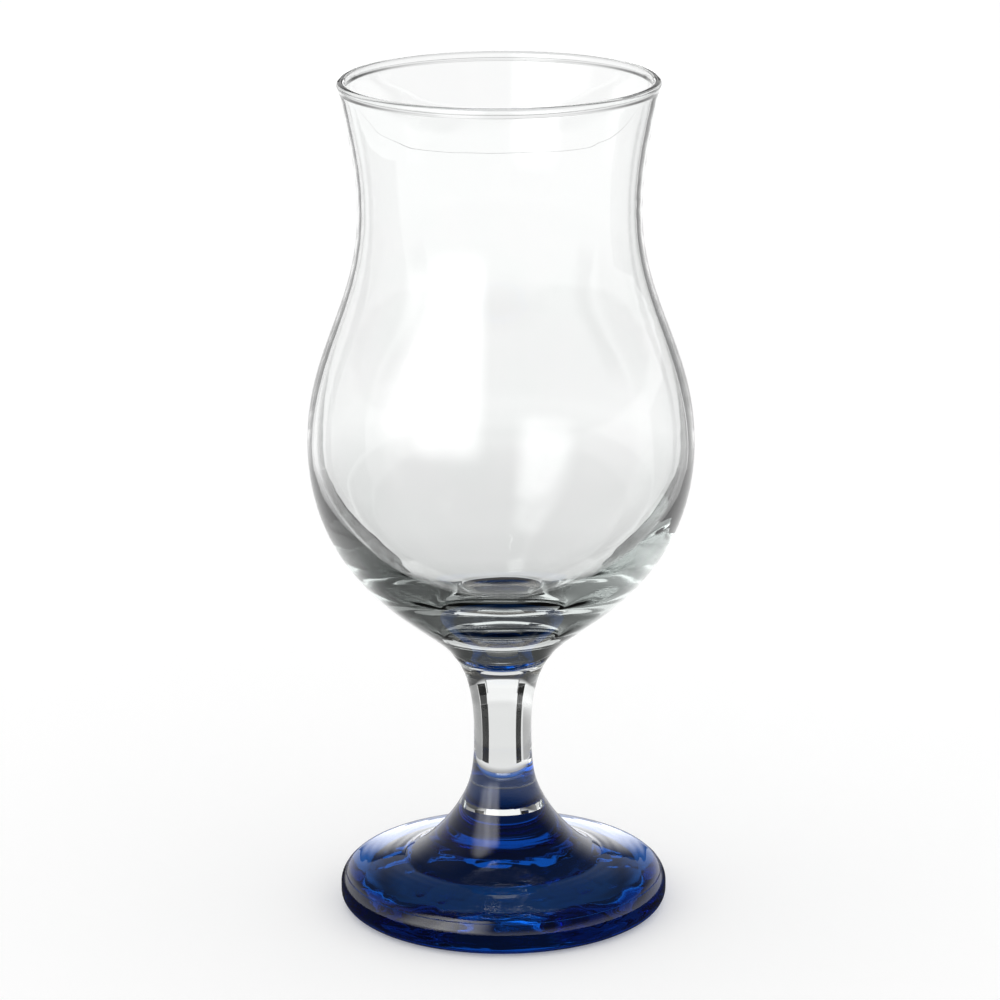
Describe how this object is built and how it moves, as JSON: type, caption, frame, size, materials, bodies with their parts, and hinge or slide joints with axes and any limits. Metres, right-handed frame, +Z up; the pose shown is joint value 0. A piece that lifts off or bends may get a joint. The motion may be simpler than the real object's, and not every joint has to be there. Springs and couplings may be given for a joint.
{
  "type": "hurricane glass",
  "caption": "Footed hurricane cocktail glass: a clear curved bowl with a beaded flaring rim, fused to a short clear stem and a thick cobalt blue foot.",
  "frame": {"origin": "centre of the foot on the surface that the glass stands on", "axes": "+Z up along the axis that the glass is turned about; X and Y are alike"},
  "size_m": [0.0848, 0.0848, 0.187],
  "materials": {
    "clear_glass": "fire-polished, gloss",
    "cobalt_glass": "fire-polished, gloss"
  },
  "bodies": {
    "root": {"bowl": "clear_glass", "stem": "clear_glass", "foot": "cobalt_glass"}
  },
  "joints": []
}
